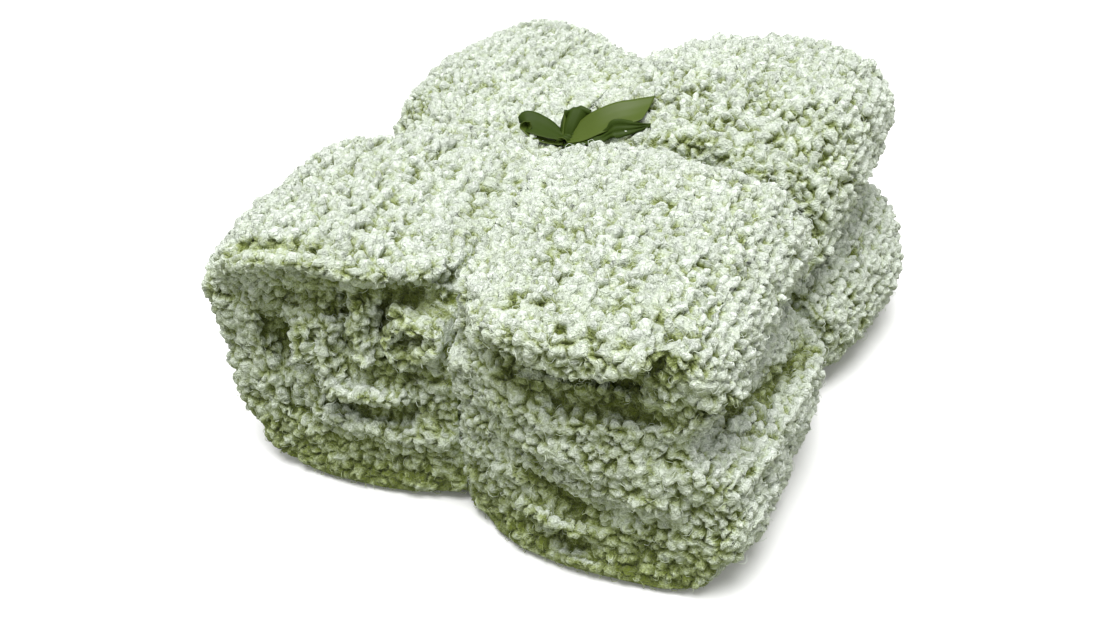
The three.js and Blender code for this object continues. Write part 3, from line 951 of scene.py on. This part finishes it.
def knitMaterial():
    material, tree, shader = newMaterial("knit")
    shadeAndTone = addNode(tree, "Attribute", attribute_name="toneAndPaintedShade")
    toned = addNode(tree, "Attribute", attribute_name="tone")
    place = addNode(tree, "TexCoord")
    fibres = addNode(tree, "TexNoise", Scale=yarn["fibreScale"], Detail=3, Distortion=yarn["fibreTwist"])
    tree.links.new(place.outputs["Object"], fibres.inputs["Vector"])
    # painted shade in thin gaps between them
    bend = addNode(tree, "TexNoise", Scale=yarn["gapBendScale"], Detail=1)
    tree.links.new(place.outputs["Object"], bend.inputs["Vector"])
    bent = addNode(tree, "VectorMath", operation="MULTIPLY_ADD")
    bent.inputs[1].default_value = [yarn["gapBend"]] * 3
    tree.links.new(bend.outputs["Color"], bent.inputs[0])
    tree.links.new(place.outputs["Object"], bent.inputs[2])
    strands = addNode(tree, "TexVoronoi", feature="DISTANCE_TO_EDGE", Scale=yarn["gapScale"])
    tree.links.new(bent.outputs["Vector"], strands.inputs["Vector"])
    gaps = mapRange(tree, (0, 0.1), (yarn["gapShade"], 1))
    tree.links.new(strands.outputs["Distance"], gaps.inputs["Value"])
    parted = addNode(tree, "Math", operation="MULTIPLY")
    tree.links.new(fibres.outputs["Fac"], parted.inputs[0])
    tree.links.new(gaps.outputs["Result"], parted.inputs[1])
    tint = addNode(tree, "Group", node_tree=yarnColour)
    tree.links.new(shadeAndTone.outputs["Fac"], tint.inputs["PaintedShadeAndTone"])
    tree.links.new(toned.outputs["Fac"], tint.inputs["Tone"])
    tree.links.new(parted.outputs["Value"], tint.inputs["Fibres"])
    tree.links.new(tint.outputs["Color"], shader.inputs["Base Color"])
    bump = addNode(tree, "Bump", Strength=1, Distance=yarn["fibreBump"])
    tree.links.new(fibres.outputs["Fac"], bump.inputs["Height"])
    tree.links.new(bump.outputs["Normal"], shader.inputs["Normal"])
    finish(shader, yarn["finish"])
    return material


knitYarn = knitMaterial()
for piece in knitPieces:
    piece.data.materials.append(knitYarn)
    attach(piece, "root")
    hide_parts("throw")
pileYarn = pileMaterial()
for piece in pilePieces:
    piece.data.materials.append(pileYarn)
    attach(piece, "root")


satin = {
    "faceColours": [(0.3, (0.048, 0.074, 0.008)), (0.7, (0.085, 0.122, 0.022))],
    # painted shade: the back is darker, besides being rougher
    "shadedBackColours": [(0.3, (0.020, 0.040, 0.002)), (0.7, (0.038, 0.064, 0.005))],
    "faceRoughness": 0.4,
    "backRoughness": 0.55,
    "specular": 0.15,
    "streakScale": (60, 9, 1),     # along the ribbon and across it
}


def satinMaterial(name, colours, roughness):
    material, tree, shader = newMaterial(name)
    uv = addNode(tree, "UVMap", uv_map="UVMap")
    stretch = addNode(tree, "Mapping", Scale=satin["streakScale"])
    tree.links.new(uv.outputs["UV"], stretch.inputs["Vector"])
    streaks = addNode(tree, "TexNoise", Scale=1, Detail=3)
    tree.links.new(stretch.outputs["Vector"], streaks.inputs["Vector"])
    ramp = colourRamp(tree, colours)
    tree.links.new(streaks.outputs["Fac"], ramp.inputs["Fac"])
    tree.links.new(ramp.outputs["Color"], shader.inputs["Base Color"])
    finish(shader, {"Roughness": roughness, "Specular IOR Level": satin["specular"]})


# the ribbon's two sides already hold these two by name
satinMaterial("satinFace", satin["faceColours"], satin["faceRoughness"])
satinMaterial("satinBackShaded", satin["shadedBackColours"], satin["backRoughness"])
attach(ribbonPiece, "root")
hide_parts("ribbon")


# floor and light
studio = {
    "world": 0.66,
    "key": {"strength": 3.6, "softness": 36, "direction": (-0.06, 0.22, -1), "colour": (1, 1, 1)},
    "side": {"strength": 0.08, "softness": 60, "direction": (-1, 0.2, -0.35), "colour": (1, 0.93, 0.9)},
    "floor": (0.98, 0.98, 0.98, 1),
    "floorGlow": (0.26, 0.28, 0.17, 1),      # what the throw sees of it
}


def addSun(name):
    values = studio[name]
    data = bpy.data.lights.new(name, "SUN")
    data.energy = values["strength"]
    data.angle = math.radians(values["softness"])
    data.color = values["colour"]
    sun = linkObject(name, data)
    sun.rotation_euler = Vector(values["direction"]).to_track_quat("-Z", "Y").to_euler()


def makeStudio():
    bm = bmesh.new()
    bmesh.ops.create_grid(bm, x_segments=1, y_segments=1, size=3)
    mesh = bpy.data.meshes.new("floor")
    bm.to_mesh(mesh)
    bm.free()
    floor = linkObject("floor", mesh)
    material, tree, shader = newMaterial("floor")
    path = addNode(tree, "LightPath")
    colour = addNode(tree, "Mix", data_type="RGBA")
    colour.inputs["A"].default_value = studio["floorGlow"]
    colour.inputs["B"].default_value = studio["floor"]
    tree.links.new(path.outputs["Is Camera Ray"], colour.inputs["Factor"])
    tree.links.new(colour.outputs["Result"], shader.inputs["Base Color"])
    shader.inputs["Roughness"].default_value = 1
    mesh.materials.append(material)
    world = bpy.data.worlds.new("studio")
    bpy.context.scene.world = world
    world.use_nodes = True
    world.node_tree.nodes["Background"].inputs["Color"].default_value = (1, 1, 1, 1)
    world.node_tree.nodes["Background"].inputs["Strength"].default_value = studio["world"]
    addSun("key")
    addSun("side")
    bpy.context.scene.view_settings.view_transform = "Standard"


makeStudio()
print("studio: floor, world and two suns")
